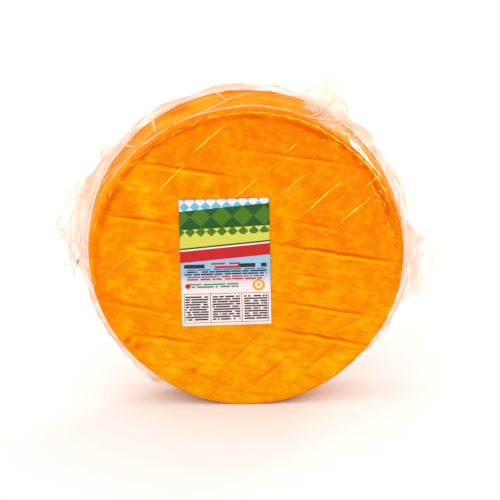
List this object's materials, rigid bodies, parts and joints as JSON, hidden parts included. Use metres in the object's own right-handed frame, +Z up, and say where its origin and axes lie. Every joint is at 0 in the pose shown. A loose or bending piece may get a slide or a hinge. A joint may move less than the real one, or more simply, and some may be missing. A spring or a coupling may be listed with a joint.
{
  "type": "bagged cheese wheel",
  "caption": "Whole wheel of soft orange-rinded cheese in a clear vacuum bag, with a paper label on its face, standing on its edge.",
  "frame": {"origin": "middle of the flat foot on which the bagged wheel stands, under the middle of its thickness", "axes": "+Z up, the wheel's axis along Y, and the labelled face towards -Y"},
  "size_m": [0.2995, 0.0578, 0.232],
  "materials": {
    "rind": "washed orange rind with the fine weave of the cheesecloth pressed in, slightly waxy",
    "film": "clear glossy vacuum bag film, wrinkled",
    "paper": "coated label paper, printed, satin"
  },
  "bodies": {
    "root": {"cheese_wheel": "rind", "vacuum_bag": "film", "label": "paper"}
  },
  "joints": []
}
